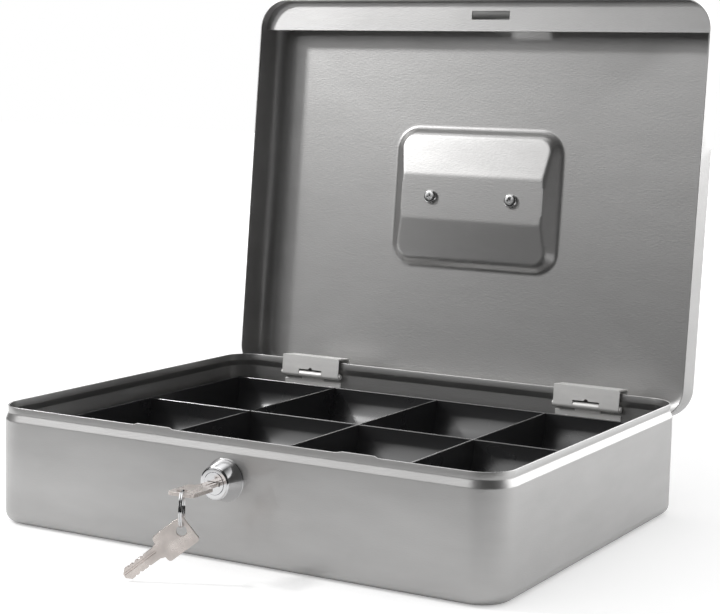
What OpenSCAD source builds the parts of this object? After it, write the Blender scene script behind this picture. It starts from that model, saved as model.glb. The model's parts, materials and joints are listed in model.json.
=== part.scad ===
// Sheet-steel cash box with a hinged lid, a lift-out coin tray and a cam lock.
// Origin: middle of the base's underside. +Z up, +X to the right, the lock on the -Y side.
// The lid is drawn shut and then swung open about its hinge pins, which is how it rests.

/* [Case] */
// Width of the base, left to right
case_w = 300; // [260:1:340]
// Depth of the base, front to back
case_d = 240; // [220:1:260]
// Radius of the upright corners
corner_r = 18; // [16:0.5:22]
// Thickness of the sheet steel
sheet = 0.8; // [0.6:0.1:0.8]
// Outside radius of the bend round the underside
floor_bend_r = 6; // [4:0.5:8]
// Height at which the wall starts to step in for the lid
ledge_z = 56.5; // [56:0.1:57]
// Height over which the wall steps in
ledge_h = 2.9; // [2.5:0.1:3.2]
// How far the wall steps in
ledge_in = 1.4; // [1.3:0.1:1.5]
// Height of the rim above the floor
rim_z = 63.5; // [63:0.1:64]

/* [Lid] */
// Height of the lid's free edge when it is shut
lid_edge_z = 58.3; // [58.2:0.1:58.5]
// Height of the lid from its free edge to its top
lid_h = 24.7; // [23:0.1:27]
// Outside radius of the bend round the lid's top
lid_bend_r = 9; // [7:0.5:10]
// How far the lid opens
lid_open = 95; // [90:1:95]

/* [Handle recess] */
// Width of the recess at the lid's top
dish_w = 112; // [100:1:120]
// Depth of the recess from front to back at the lid's top
dish_d = 86; // [80:1:90]
// Corner radius of the recess
dish_r = 14; // [10:0.5:16]
// How deep the flat middle of the recess lies below the top
dish_deep = 8; // [7:0.1:9]
// Diameter of the handle's wire
bail_wire = 4.5; // [4:0.1:4.6]
// How far the bail hangs away from the open lid
bail_rest = 5; // [5:1:6]

/* [Hinges] */
// Distance of each hinge from the middle
hinge_x = 93.5; // [80:0.5:100]
// Width of the hinge leaves
leaf_w = 41; // [36:0.5:44]
// Radius of the hinge pin
pin_r = 1.2; // [1:0.05:1.25]
// Distance of the pin axis in front of the back face
pin_inset = 3.4; // [3.4:0.1:3.4]

/* [Lock] */
// Height of the lock's axis
lock_z = 42.3; // [41.8:0.1:42.8]
// Radius of the plug that turns
plug_r = 5.5; // [5.4:0.05:5.6]
// Angle between the locked and the unlocked cam
cam_turn = 90; // [90:1:90]

/* [Keys] */
// Length of the bow
bow_l = 18.5; // [18:0.5:20]
// Width of the bow
bow_w = 14.8; // [13.5:0.1:15]
// Length of the blade
blade_l = 21.5; // [20:0.5:24]
// Width of the blade
blade_w = 6.5; // [6:0.1:6.6]
// Thickness of a key
key_t = 1.8; // [1.6:0.1:1.8]
// Radius of the hole in the bow
bow_hole_r = 2.6; // [2.6:0.05:2.8]
// Distance of that hole from the bow's outer end
bow_hole_in = 4.6; // [4.4:0.1:5]
// Distance of that hole from the blade's middle line
bow_hole_side = 1.5; // [1:0.1:1.6]
// Compass angle of the ring's plane, seen from above
ring_yaw = 29.4; // [20:0.1:35]
// Angle of the spare key's blade below level
spare_dip = 38; // [30:0.5:39]

/* [Coin tray] */
// Width of the tray
tray_w = 286; // [270:1:288]
// Front face of the tray
tray_front = -84; // [-90:1:-80]
// Back face of the tray
tray_back = 109; // [100:1:110]
// Height of the tray's rim
tray_z = 49.4; // [45:0.1:50]
// Height of the floor of its cells
cell_floor_z = 17.5; // [14:0.5:24]
// Wall thickness of the moulding
tray_wall = 1; // [0.8:0.1:1.2]
// Radius of the scoop at the back of each cell
scoop_r = 29; // [20:1:29]

/* [Hidden] */
$fn = 96;
eps = 0.01;

half_w = case_w / 2;
half_d = case_d / 2;
// half spans between the centres of the upright corners
core_x = half_w - corner_r;
core_y = half_d - corner_r;
lid_top_z = lid_edge_z + lid_h;
// the front rim carries two low stops for the lid, each given by its two ends
rim_stops = [[-55.7, -34.6], [63.1, 84.3]];
rim_stop_h = 0.8;

// The pin sits so low that the lid's free edge meets the back wall when the lid is fully open.
edge_gap = 0.1;
pin_y = half_d - pin_inset;
pin_drop = (pin_inset + edge_gap + (pin_inset - sheet) * sin(lid_open - 90)) / cos(lid_open - 90);
pin_z = lid_edge_z - pin_drop;
bore_gap = 0.05;
knuckle_r = pin_r + bore_gap + sheet;
knuckle_half = 8.1;
window_half = knuckle_half + 0.2;
leaf_arch_y = -11.4;
leaf_arch_z = 11.4;
leaf_tail_z = 19.2;
skirt_y = pin_inset - sheet;
base_leaf_foot = -14.5;
base_leaf_shoulder = -4;
rivet_r = 1.6;
rivet_head_r = 2.8;
rivet_head_t = 0.7;
base_rivet_z = pin_z - 9.5;
lid_rivet_z = pin_z + 15.4;
rivet_x = 13;

flange_z = 64.5;
flange_back = -101.2;
flange_leg_z = 73.5;
slot_x = [-2.5, 22.5];
slot_y = [-113.5, -108.4];

dish_fold = 14;
dish_step_y = 39;
dish_step_z = 4;
dish_end_x = 48;
bracket_x = 27.3;
bail_axis_z = lid_top_z - 3.5;
bail_half_w = 42;
bail_reach = 25;
bail_bend = 8;
bracket_half = [7, 6];
bracket_boss_r = 3.3;
bail_end_x = bracket_x + 4.2;
screw_r = 1.5;
screw_head_r = 4.25;
screw_head_t = 2.2;

wall_y = -half_d;
plate_y = wall_y - 10;
housing_end_y = wall_y + 7.7;
bezel_r = 11;
nose_r = 8.5;
barrel_r = 8;
plug_face_y = plate_y - 0.2;
keyway = [7.2, 15, 2.2];
wafer_count = 5;
wafer_t = 1;
wafer_pitch = 2.4;
wafer_y = wall_y - 6.9;
wafer_half = [4.8, 2.5];
wafer_window = [3.55, 1.3];
tail_half = 2.5;
cam_y = housing_end_y + 0.1;
cam_t = 2;
cam_screw_r = 1.3;

key_tip_y = wall_y + 1;
bow_inner_y = key_tip_y - blade_l;
bow_end_y = bow_inner_y - bow_l;
bow_hole_y = bow_end_y + bow_hole_in;
ring_in_r = 8.3;
ring_out_r = 9.2;
ring_half_t = 0.9;
// the ring's plane stands upright and passes through the bow's hole, beside its middle
ring_out = 5;
ring_beside = 0.3;
ring_below = 6.7;
ring_dir = [sin(ring_yaw), -cos(ring_yaw)];
ring_pos = [-bow_hole_side + ring_out * ring_dir[0] - ring_beside * ring_dir[1],
            bow_hole_y + ring_out * ring_dir[1] + ring_beside * ring_dir[0], lock_z - ring_below];
spare_hang = 10.5;
spare_pos = [ring_pos[0], ring_pos[1], ring_pos[2] - spare_hang];

cell_rows = [tray_front, (tray_front + tray_back) / 2 - tray_wall / 2, tray_back - tray_wall];
cell_columns = 4;
front_scoop_r = 10;
leg_x = 128;
leg_y = [-68, 62];
leg_size = 9;

// ---- shared shapes -------------------------------------------------------

// Carries a profile, drawn outwards from the corner centres, once round the box.
module round_frame(span_x, span_y) {
    for (turn = [0:3]) {
        span = turn % 2 == 0 ? [span_x, span_y] : [span_y, span_x];
        rotate([0, 0, 90 * turn]) translate([span[0], span[1], 0]) {
            rotate_extrude(angle = 90) children();
            rotate([90, 0, 0]) linear_extrude(2 * span[1]) children();
        }
    }
}

// Flat plate with rounded corners: half spans between corner centres, corner radius and thickness.
module round_plate(span_x, span_y, r, t) {
    translate([-span_x, -span_y - r, 0]) cube([2 * span_x, 2 * (span_y + r), t]);
    translate([-span_x - r, -span_y, 0]) cube([2 * (span_x + r), 2 * span_y, t]);
    for (x = [-span_x, span_x], y = [-span_y, span_y])
        translate([x, y, 0]) cylinder(r = r, h = t);
}

// Round bar along X from x0 to x1, with its axis at y and z.
module x_bar(x0, x1, y, z, r) {
    translate([x0, y, z]) rotate([0, 90, 0]) cylinder(r = r, h = x1 - x0);
}

// Round bar along Y from y0 to y1, with its axis at x and z.
module y_bar(x, y0, y1, z, r) {
    translate([x, y0, z]) rotate([-90, 0, 0]) cylinder(r = r, h = y1 - y0);
}

// Profile in Y and Z, carried along X from x0 to x1.
module x_prism(x0, x1) {
    translate([x0, 0, 0]) rotate([90, 0, 90]) linear_extrude(x1 - x0) children();
}

// Swings what is drawn shut to the lid's resting, open place.
module on_open_lid() {
    translate([0, pin_y, pin_z]) rotate([-lid_open, 0, 0]) translate([0, -pin_y, -pin_z]) children();
}

// Rivet along Y through a wall from y0 to y1, with a low round head on each side.
module rivet(x, y0, y1, z) {
    y_bar(x, y0, y1, z, rivet_r);
    y_bar(x, y0 - rivet_head_t, y0, z, rivet_head_r);
    y_bar(x, y1, y1 + rivet_head_t, z, rivet_head_r);
}

function arc(cx, cy, r, from, to, steps) =
    [for (i = [0:steps]) let (a = from + (to - from) * i / steps) [cx + r * cos(a), cy + r * sin(a)]];
// How far the base's wall has stepped in at share t of the step, as a half wave of a cosine.
function step_in(t) = ledge_in * (1 - cos(180 * t)) / 2;

// ---- base ----------------------------------------------------------------

// Section of the base's wall, from the end of the floor to the rim.
module base_wall_profile() {
    steps = 6;
    bend_x = corner_r - floor_bend_r;
    outside = concat(arc(bend_x, floor_bend_r, floor_bend_r, -90, 0, 6),
                     [for (i = [0:steps]) [corner_r - step_in(i / steps), ledge_z + ledge_h * i / steps]],
                     [[corner_r - ledge_in, rim_z]]);
    inside = concat([[corner_r - ledge_in - sheet, rim_z]],
                    [for (i = [0:steps]) let (t = 1 - i / steps)
                        [corner_r - sheet - step_in(t), ledge_z + ledge_h * t]],
                    arc(bend_x, floor_bend_r, floor_bend_r - sheet, 0, -90, 6));
    polygon(concat(outside, inside));
}

module base_shell() {
    rim_y = -(half_d - ledge_in);
    color("silver") difference() {
        union() {
            round_frame(core_x, core_y) base_wall_profile();
            round_plate(core_x, core_y, corner_r - floor_bend_r, sheet);
            for (stop = rim_stops)
                translate([stop[0], rim_y, rim_z - eps])
                    cube([stop[1] - stop[0], sheet, rim_stop_h + eps]);
        }
        y_bar(0, wall_y - 1, wall_y + 2, lock_z, barrel_r);
        for (side = [-1, 1], x = [-rivet_x, rivet_x])
            y_bar(side * hinge_x + x, half_d - 2, half_d + 1, base_rivet_z, rivet_r);
    }
}

// Leaf riveted inside the back wall, with one knuckle in its middle.
module base_leaf(side) {
    color("silver") translate([side * hinge_x, pin_y, pin_z]) difference() {
        union() {
            x_prism(-knuckle_half, knuckle_half) {
                circle(r = knuckle_r);
                polygon([[skirt_y - sheet, base_leaf_shoulder], [skirt_y, base_leaf_shoulder],
                         [skirt_y, -1.2], [1.9, 0.6], [1.2, 0.6], [1.4, -1.4], [skirt_y - sheet, -2.2]]);
            }
            translate([-leaf_w / 2, skirt_y - sheet, base_leaf_foot])
                cube([leaf_w, sheet, base_leaf_shoulder - base_leaf_foot]);
        }
        x_bar(-leaf_w, leaf_w, 0, 0, pin_r + bore_gap);
        for (x = [-rivet_x, rivet_x])
            y_bar(x, skirt_y - 2, skirt_y + 1, base_rivet_z - pin_z, rivet_r);
    }
}

module base_hinge_leaf_left() {
    base_leaf(-1);
}

module base_hinge_leaf_right() {
    base_leaf(1);
}

module hinge_pin(side) {
    head_t = 0.8;
    head_r = 1.6;
    half = leaf_w / 2 + 0.1;
    color("gainsboro") translate([side * hinge_x, 0, 0]) {
        x_bar(-half, half, pin_y, pin_z, pin_r);
        x_bar(-half - head_t, -half, pin_y, pin_z, head_r);
        x_bar(half, half + head_t, pin_y, pin_z, head_r);
    }
}

module hinge_pin_left() {
    hinge_pin(-1);
}

module hinge_pin_right() {
    hinge_pin(1);
}

module base_hinge_rivets() {
    color("gainsboro") for (side = [-1, 1], x = [-rivet_x, rivet_x])
        rivet(side * hinge_x + x, half_d - 2 * sheet, half_d, base_rivet_z);
}

// ---- lid -----------------------------------------------------------------

// Section of the lid's side, from its free edge to the start of its flat top.
module lid_wall_profile() {
    bend_x = corner_r - lid_bend_r;
    bend_z = lid_top_z - lid_bend_r;
    polygon(concat([[corner_r, lid_edge_z]], arc(bend_x, bend_z, lid_bend_r, 0, 90, 8),
                   arc(bend_x, bend_z, lid_bend_r - sheet, 90, 0, 8), [[corner_r - sheet, lid_edge_z]]));
}

// Space pressed into the lid for the handle, made larger by g on every side and below.
module dish_space(g) {
    half_x = dish_w / 2 + g;
    half_y = dish_d / 2 + g;
    r = dish_r + g;
    deep = dish_deep + g;
    intersection() {
        translate([0, 0, lid_top_z - deep]) round_plate(half_x - r, half_y - r, r, deep + 1);
        translate([0, 0, lid_top_z]) x_prism(-half_x, half_x)
            polygon([[-half_y, 0], [-dish_step_y - g / 2, -dish_step_z - g], [-dish_fold, -deep],
                     [dish_fold, -deep], [dish_step_y + g / 2, -dish_step_z - g], [half_y, 0],
                     [half_y, 1], [-half_y, 1]]);
        translate([0, half_y, lid_top_z]) rotate([90, 0, 0]) linear_extrude(2 * half_y)
            polygon([[-half_x, 0], [-dish_end_x, -deep], [dish_end_x, -deep], [half_x, 0],
                     [half_x, 1], [-half_x, 1]]);
    }
}

module lid_shell() {
    color("silver") on_open_lid() difference() {
        union() {
            round_frame(core_x, core_y) lid_wall_profile();
            difference() {
                union() {
                    translate([0, 0, lid_top_z - sheet])
                        round_plate(core_x, core_y, corner_r - lid_bend_r, sheet);
                    dish_space(sheet);
                }
                translate([0, 0, lid_top_z]) cylinder(r = case_w, h = case_w);
            }
        }
        dish_space(0);
        for (x = [-bracket_x, bracket_x])
            translate([x, 0, lid_top_z - 2 * dish_deep]) cylinder(r = screw_r, h = 2 * dish_deep);
        for (side = [-1, 1], x = [-rivet_x, rivet_x])
            y_bar(side * hinge_x + x, half_d - 2, half_d + 1, lid_rivet_z, rivet_r);
    }
}

// Strip across the front of the lid, with the slot that the cam hooks through.
module lid_catch_flange() {
    in_r = corner_r - sheet;
    color("silver") on_open_lid() difference() {
        union() {
            intersection() {
                translate([0, 0, flange_z]) round_plate(core_x, core_y, in_r, sheet);
                translate([-half_w, -half_d, 0]) cube([case_w, half_d + flange_back, lid_top_z]);
            }
            translate([-core_x, -half_d + sheet, flange_z])
                cube([2 * core_x, sheet, flange_leg_z - flange_z]);
        }
        translate([slot_x[0], slot_y[0], flange_z - 1])
            cube([slot_x[1] - slot_x[0], slot_y[1] - slot_y[0], sheet + 2]);
    }
}

// Leaf of the lid: two knuckles, an arch over the base's rim and a tail on the lid's back skirt.
module lid_leaf(side) {
    notch_y = -2.7;
    notch_r = 1.4;
    color("silver") on_open_lid() translate([side * hinge_x, pin_y, pin_z]) difference() {
        union() {
            x_prism(-leaf_w / 2, leaf_w / 2) {
                circle(r = knuckle_r);
                polygon([[0, -knuckle_r], [0, sheet - knuckle_r], [leaf_arch_y + sheet, sheet - knuckle_r],
                         [leaf_arch_y + sheet, leaf_arch_z - sheet], [skirt_y - sheet, leaf_arch_z - sheet],
                         [skirt_y, leaf_arch_z - sheet], [skirt_y, leaf_tail_z],
                         [skirt_y - sheet, leaf_tail_z], [skirt_y - sheet, leaf_arch_z],
                         [leaf_arch_y, leaf_arch_z], [leaf_arch_y, -knuckle_r]]);
            }
        }
        x_bar(-leaf_w, leaf_w, 0, 0, pin_r + bore_gap);
        translate([-window_half, -2.9, -2 * knuckle_r]) cube([2 * window_half, 6, 4 * knuckle_r]);
        translate([0, notch_y, -2 * knuckle_r]) cylinder(r = notch_r, h = 2 * knuckle_r);
        for (x = [-rivet_x, rivet_x])
            y_bar(x, skirt_y - 2, skirt_y + 1, lid_rivet_z - pin_z, rivet_r);
    }
}

module lid_hinge_leaf_left() {
    lid_leaf(-1);
}

module lid_hinge_leaf_right() {
    lid_leaf(1);
}

module lid_hinge_rivets() {
    color("gainsboro") on_open_lid() for (side = [-1, 1], x = [-rivet_x, rivet_x])
        rivet(side * hinge_x + x, half_d - 2 * sheet, half_d, lid_rivet_z);
}

// ---- handle --------------------------------------------------------------

// Bracket that holds one end of the bail on the floor of the recess.
module handle_bracket(side) {
    floor_z = lid_top_z - dish_deep;
    foot_h = 3;
    color("gainsboro") on_open_lid() difference() {
        union() {
            translate([side * bracket_x - bracket_half[0], -bracket_half[1], floor_z])
                cube([2 * bracket_half[0], 2 * bracket_half[1], foot_h]);
            x_bar(side * bracket_x - bracket_half[0], side * bracket_x + bracket_half[0],
                  0, bail_axis_z, bracket_boss_r);
        }
        translate([side * bracket_x, 0, floor_z - 1]) cylinder(r = screw_r, h = foot_h + 2);
        x_bar(min(side * (bail_end_x - 0.5), side * half_w), max(side * (bail_end_x - 0.5), side * half_w),
              0, bail_axis_z, bail_wire / 2 + bore_gap);
    }
}

module handle_bracket_left() {
    handle_bracket(-1);
}

module handle_bracket_right() {
    handle_bracket(1);
}

// Wire bail: two inward ends, two arms and a grip, joined by round bends.
module handle_bail() {
    r = bail_wire / 2;
    bend = bail_bend;
    heel = 5;
    color("gainsboro") on_open_lid() translate([0, 0, bail_axis_z]) rotate([bail_rest, 0, 0])
        for (side = [-1, 1]) mirror([side < 0 ? 1 : 0, 0, 0]) {
            x_bar(bail_end_x, bail_half_w - heel, 0, 0, r);
            translate([bail_half_w - heel, heel, 0]) rotate([0, 0, -90])
                rotate_extrude(angle = 90) translate([heel, 0]) circle(r = r);
            y_bar(bail_half_w, heel, bail_reach - bend, 0, r);
            translate([bail_half_w - bend, bail_reach - bend, 0])
                rotate_extrude(angle = 90) translate([bend, 0]) circle(r = r);
            x_bar(0, bail_half_w - bend, bail_reach, 0, r);
        }
}

// Two pan-head screws, driven from inside the lid into the brackets.
module handle_screws() {
    head_z = lid_top_z - dish_deep - sheet;
    head_round = 1.2;
    slot = [3.8, 0.8, 2.2];
    color("gainsboro") on_open_lid() for (x = [-bracket_x, bracket_x]) translate([x, 0, 0]) {
        translate([0, 0, head_z]) cylinder(r = screw_r, h = sheet + 2.8);
        difference() {
            translate([0, 0, head_z - screw_head_t]) rotate_extrude()
                polygon(concat([[0, 0]], arc(screw_head_r - head_round, head_round, head_round, -90, 0, 5),
                               [[screw_head_r, screw_head_t], [0, screw_head_t]]));
            for (turn = [0, 90]) rotate([0, 0, turn])
                translate([-slot[0] / 2, -slot[1] / 2, head_z - screw_head_t - 1]) cube(slot);
        }
    }
}

// ---- lock ----------------------------------------------------------------

// Turned body of the lock: a tapered bezel outside the wall and a barrel through it.
module lock_housing() {
    nose_round = 1.2;
    color("gainsboro") translate([0, 0, lock_z]) rotate([90, 0, 0]) difference() {
        rotate_extrude() polygon(concat([[0, -housing_end_y], [barrel_r, -housing_end_y], [barrel_r, -wall_y],
                                         [bezel_r, -wall_y], [bezel_r, -wall_y + 0.8]],
                                        arc(nose_r - nose_round, -plate_y - nose_round, nose_round, 20, 90, 5),
                                        [[0, -plate_y]]));
        translate([0, 0, -housing_end_y - 1]) cylinder(r = plug_r + bore_gap, h = 30);
    }
}

module lock_nut() {
    across_corners = 11.55;
    nut_t = 3.5;
    color("silver") translate([0, wall_y + sheet, lock_z]) rotate([-90, 0, 0]) difference() {
        rotate([0, 0, 30]) cylinder(r = across_corners, h = nut_t, $fn = 6);
        translate([0, 0, -1]) cylinder(r = barrel_r, h = nut_t + 2);
    }
}

// Plug with its keyway, its wafer slots and the square that drives the cam.
module lock_plug() {
    slot_t = wafer_t + 0.2;
    slot_half_z = wafer_half[1] + 0.1;
    color("silver") translate([0, 0, lock_z]) difference() {
        union() {
            y_bar(0, plug_face_y, housing_end_y, 0, plug_r);
            translate([-tail_half, housing_end_y - eps, -tail_half])
                cube([2 * tail_half, cam_t + eps, 2 * tail_half]);
        }
        translate([-keyway[0] / 2, plug_face_y - 1, -keyway[2] / 2]) cube([keyway[0], keyway[1] + 1, keyway[2]]);
        for (i = [0:wafer_count - 1])
            translate([-plug_r - 1, wafer_y + i * wafer_pitch - slot_t / 2, -slot_half_z])
                cube([2 * plug_r + 2, slot_t, 2 * slot_half_z]);
        y_bar(0, housing_end_y - 1.5, 0, 0, cam_screw_r);
    }
}

// Brass wafers, each with a window that the blade passes through.
module lock_wafers() {
    color("goldenrod") for (i = [0:wafer_count - 1])
        translate([0, wafer_y + i * wafer_pitch - wafer_t / 2, lock_z]) difference() {
            translate([-wafer_half[0], 0, -wafer_half[1]]) cube([2 * wafer_half[0], wafer_t, 2 * wafer_half[1]]);
            translate([-wafer_window[0], -1, -wafer_window[1]])
                cube([2 * wafer_window[0], wafer_t + 2, 2 * wafer_window[1]]);
        }
}

// Hook-shaped cam, drawn in its locked place and turned to where it rests.
module lock_cam() {
    hub_r = 8;
    arm_x = [-1.8, 9];
    arm_top = 29;
    beak_x = -9;
    beak_z = 23.4;
    square_half = tail_half + 0.05;
    color("silver") translate([0, 0, lock_z]) rotate([0, cam_turn, 0]) difference() {
        union() {
            y_bar(0, cam_y, cam_y + cam_t, 0, hub_r);
            translate([arm_x[0], cam_y, 0]) cube([arm_x[1] - arm_x[0], cam_t, arm_top]);
            translate([beak_x, cam_y, beak_z]) cube([arm_x[1] - beak_x, cam_t, arm_top - beak_z]);
        }
        translate([-square_half, cam_y - 1, -square_half]) cube([2 * square_half, cam_t + 2, 2 * square_half]);
    }
}

module cam_screw() {
    head_y = cam_y + cam_t;
    head_r = 4.6;
    head_t = 2.6;
    color("gainsboro") difference() {
        union() {
            y_bar(0, housing_end_y - 1.4, head_y, lock_z, cam_screw_r);
            y_bar(0, head_y, head_y + head_t, lock_z, head_r);
        }
        for (turn = [0, 90]) translate([0, head_y + head_t, lock_z]) rotate([0, turn, 0])
            cube([5, 2.4, 0.9], center = true);
    }
}

// ---- keys ----------------------------------------------------------------

// Flat key with its blade along +Y, its thickness along Z and the middle of the bow's hole at the origin.
module flat_key() {
    r = 1.9;
    end_y = -bow_hole_in;
    inner_y = bow_l - bow_hole_in;
    tip_y = inner_y + blade_l;
    half = blade_w / 2;
    groove_half = 0.5;
    groove_deep = 0.45;
    // each cut's distance from the tip, and its size
    bites = [[5, 0.9], [7.6, 1.3], [10.2, 0.6], [12.8, 1.1]];
    translate([bow_hole_side, 0, 0]) difference() {
        union() {
            translate([0, end_y + bow_l / 2, -key_t / 2])
                round_plate(bow_w / 2 - r, bow_l / 2 - r, r, key_t);
            translate([0, 0, -key_t / 2]) linear_extrude(key_t)
                polygon([[-half - 1.2, inner_y - 1], [-half - 0.4, inner_y + 1.6], [-half, inner_y + 2.4],
                         [-half, tip_y - 2.4], [-half + 2.2, tip_y], [half - 2.2, tip_y], [half, tip_y - 2.4],
                         [half, inner_y + 2.4], [half + 0.4, inner_y + 1.6], [half + 1.2, inner_y - 1]]);
        }
        translate([-bow_hole_side, 0, -key_t]) cylinder(r = bow_hole_r, h = 2 * key_t);
        for (face = [-1, 1])
            translate([face * 0.9 - groove_half, inner_y + 2, face > 0 ? key_t / 2 - groove_deep : -key_t])
                cube([2 * groove_half, blade_l, key_t / 2 + (face > 0 ? 1 : 0) + (face > 0 ? 0 : groove_deep)]);
        for (bite = bites, side = [-1, 1])
            translate([side * half, tip_y - bite[0], -key_t]) rotate([0, 0, 45])
                cube([bite[1], bite[1], 4 * key_t], center = true);
    }
}

module key_in_lock() {
    color("silver") translate([-bow_hole_side, bow_hole_y, lock_z]) flat_key();
}

// Split ring of two coils, standing upright in the plane that passes through both bows.
module key_ring() {
    color("gainsboro") translate(ring_pos) rotate([0, 0, ring_yaw]) rotate([0, 90, 0]) difference() {
        rotate_extrude() translate([ring_in_r, -ring_half_t])
            square([ring_out_r - ring_in_r, 2 * ring_half_t]);
        for (face = [-1, 1]) translate([0, 0, face * ring_half_t]) rotate([0, 0, 205 + 40 * face])
            translate([ring_in_r - 1, -0.15, -0.5]) cube([4, 0.3, 1]);
    }
}

// Spare key, hanging square to the ring with its tip down to the left.
module spare_key() {
    color("silver") translate(spare_pos) rotate([0, 0, ring_yaw]) rotate([90, 0, 0])
        rotate([0, 0, 90 + spare_dip]) rotate([0, 180, 0]) flat_key();
}

// ---- coin tray -----------------------------------------------------------

// Inner surface of one row of cells, from the top of its front wall to the top of its back wall.
function row_line(front, back, g) = concat(
    [[front - g, tray_z]],
    arc(front + front_scoop_r, cell_floor_z + front_scoop_r, front_scoop_r + g, 180, 270, 6),
    arc(back - scoop_r, cell_floor_z + scoop_r, scoop_r + g, 270, 360, 12),
    [[back + g, tray_z]]);

function reversed(points) = [for (i = [len(points) - 1:-1:0]) points[i]];

// Two rows of cells with scooped backs, their end walls and dividers, and four legs.
module coin_tray() {
    pitch = (tray_w - tray_wall) / cell_columns;
    color([0.08, 0.08, 0.09]) union() {
        for (row = [0, 1]) {
            front = cell_rows[row] + tray_wall;
            back = cell_rows[row + 1];
            x_prism(-tray_w / 2, tray_w / 2)
                polygon(concat(row_line(front, back, 0), reversed(row_line(front, back, tray_wall))));
            for (i = [0:cell_columns])
                x_prism(-tray_w / 2 + i * pitch, -tray_w / 2 + i * pitch + tray_wall)
                    polygon(row_line(front, back, tray_wall / 2));
        }
        for (x = [-leg_x, leg_x], y = leg_y)
            translate([x - leg_size / 2, y - leg_size / 2, sheet])
                cube([leg_size, leg_size, cell_floor_z - sheet - tray_wall / 2]);
    }
}

base_shell();
base_hinge_leaf_left();
base_hinge_leaf_right();
hinge_pin_left();
hinge_pin_right();
base_hinge_rivets();
lid_shell();
lid_catch_flange();
lid_hinge_leaf_left();
lid_hinge_leaf_right();
lid_hinge_rivets();
handle_bracket_left();
handle_bracket_right();
handle_bail();
handle_screws();
lock_housing();
lock_nut();
lock_plug();
lock_wafers();
lock_cam();
cam_screw();
key_in_lock();
key_ring();
spare_key();
coin_tray();
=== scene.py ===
"""Looks of a sheet-steel cash box that stands open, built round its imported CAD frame.

Sizes are in millimetres unless a name says otherwise, and become metres when a mesh is made.
The lid's pieces are worked out shut and then swung open about the hinge pins.
"""

from __future__ import annotations

import json
import logging
import math
from collections.abc import Callable, Sequence
from dataclasses import dataclass
from enum import Enum

import bmesh
import bpy
import numpy as np
from mathutils import Matrix, Vector

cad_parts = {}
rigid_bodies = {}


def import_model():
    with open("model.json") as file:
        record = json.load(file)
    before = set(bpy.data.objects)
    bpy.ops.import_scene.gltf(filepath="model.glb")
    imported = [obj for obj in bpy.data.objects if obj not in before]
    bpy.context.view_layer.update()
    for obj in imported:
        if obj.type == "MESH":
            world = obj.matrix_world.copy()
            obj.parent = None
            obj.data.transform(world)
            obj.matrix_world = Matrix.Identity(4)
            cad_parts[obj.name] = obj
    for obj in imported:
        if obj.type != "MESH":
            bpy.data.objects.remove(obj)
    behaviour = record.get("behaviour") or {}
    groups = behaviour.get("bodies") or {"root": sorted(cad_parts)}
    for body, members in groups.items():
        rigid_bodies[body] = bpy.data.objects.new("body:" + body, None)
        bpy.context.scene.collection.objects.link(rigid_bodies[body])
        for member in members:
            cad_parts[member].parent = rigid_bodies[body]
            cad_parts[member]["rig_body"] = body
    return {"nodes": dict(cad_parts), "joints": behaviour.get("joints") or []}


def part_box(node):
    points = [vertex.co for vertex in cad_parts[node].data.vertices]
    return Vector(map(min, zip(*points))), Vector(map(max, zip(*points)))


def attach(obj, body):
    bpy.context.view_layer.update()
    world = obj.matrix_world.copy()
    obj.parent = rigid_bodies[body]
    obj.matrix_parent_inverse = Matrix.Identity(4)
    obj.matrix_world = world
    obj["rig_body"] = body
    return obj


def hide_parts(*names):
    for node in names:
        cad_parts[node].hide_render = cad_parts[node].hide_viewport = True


LOG = logging.getLogger("cash_box")
MM = 0.001
Points = np.ndarray
Faces = np.ndarray
Colour = tuple[float, float, float]
Place = tuple[float, float, float]
Pair = tuple[float, float]


# ---- frame ---------------------------------------------------------------


@dataclass(frozen=True)
class Frame:
    """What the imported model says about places, in millimetres."""

    nodes: dict
    joints: dict

    @classmethod
    def load(cls) -> "Frame":
        """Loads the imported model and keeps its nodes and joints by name."""
        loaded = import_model()
        return cls(loaded["nodes"], {joint["name"]: joint for joint in loaded["joints"]})

    def low(self, node: str) -> Points:
        """Lowest corner of a CAD node."""
        return np.array(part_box(node)[0]) / MM

    def high(self, node: str) -> Points:
        """Highest corner of a CAD node."""
        return np.array(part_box(node)[1]) / MM

    def pivot(self, joint: str) -> Points:
        """A hinge's point."""
        return np.array(self.joints[joint]["pos_m"]) / MM

    def axis(self, joint: str) -> Points:
        """A joint's direction, as a unit vector."""
        axis = np.array(self.joints[joint]["axis"], float)
        return axis / np.linalg.norm(axis)

    def lid_opened(self, points: Points) -> Points:
        """Swings points of the shut lid to where the lid rests.

        Args:
            points: Points drawn with the lid shut.

        Returns:
            The points, turned about the hinge pins by the lid's whole range.
        """
        pivot = self.pivot("lid_hinge")
        angle = math.radians(self.joints["lid_hinge"]["range_deg"][0])
        return turned(points - pivot, "X", angle) + pivot


# ---- mesh tools ----------------------------------------------------------


def turned(points: Points, axis: str, angle: float) -> Points:
    """Turns points about a main axis through the origin.

    Args:
        points: An array whose last axis is X, Y, Z.
        axis: "X", "Y" or "Z".
        angle: Angle in radians, by the right-hand rule.

    Returns:
        The turned points.
    """
    return points @ np.array(Matrix.Rotation(angle, 3, axis)).T


def ease(share: np.ndarray) -> np.ndarray:
    """Cubic step: 0 below 0, 1 above 1, and 3t^2 - 2t^3 between."""
    t = np.clip(share, 0.0, 1.0)
    return t * t * (3 - 2 * t)


def soft_min(a: np.ndarray, b: np.ndarray, blend: float) -> np.ndarray:
    """Smaller of two values, rounded where they cross.

    Args:
        a: First value.
        b: Second value.
        blend: Difference between the two at which the rounding starts.

    Returns:
        The smaller value less h^2 * blend / 4, where h falls from 1 at the crossing to 0.
    """
    h = np.clip(1 - np.abs(a - b) / blend, 0.0, 1.0)
    return np.minimum(a, b) - h * h * blend / 4


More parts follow.
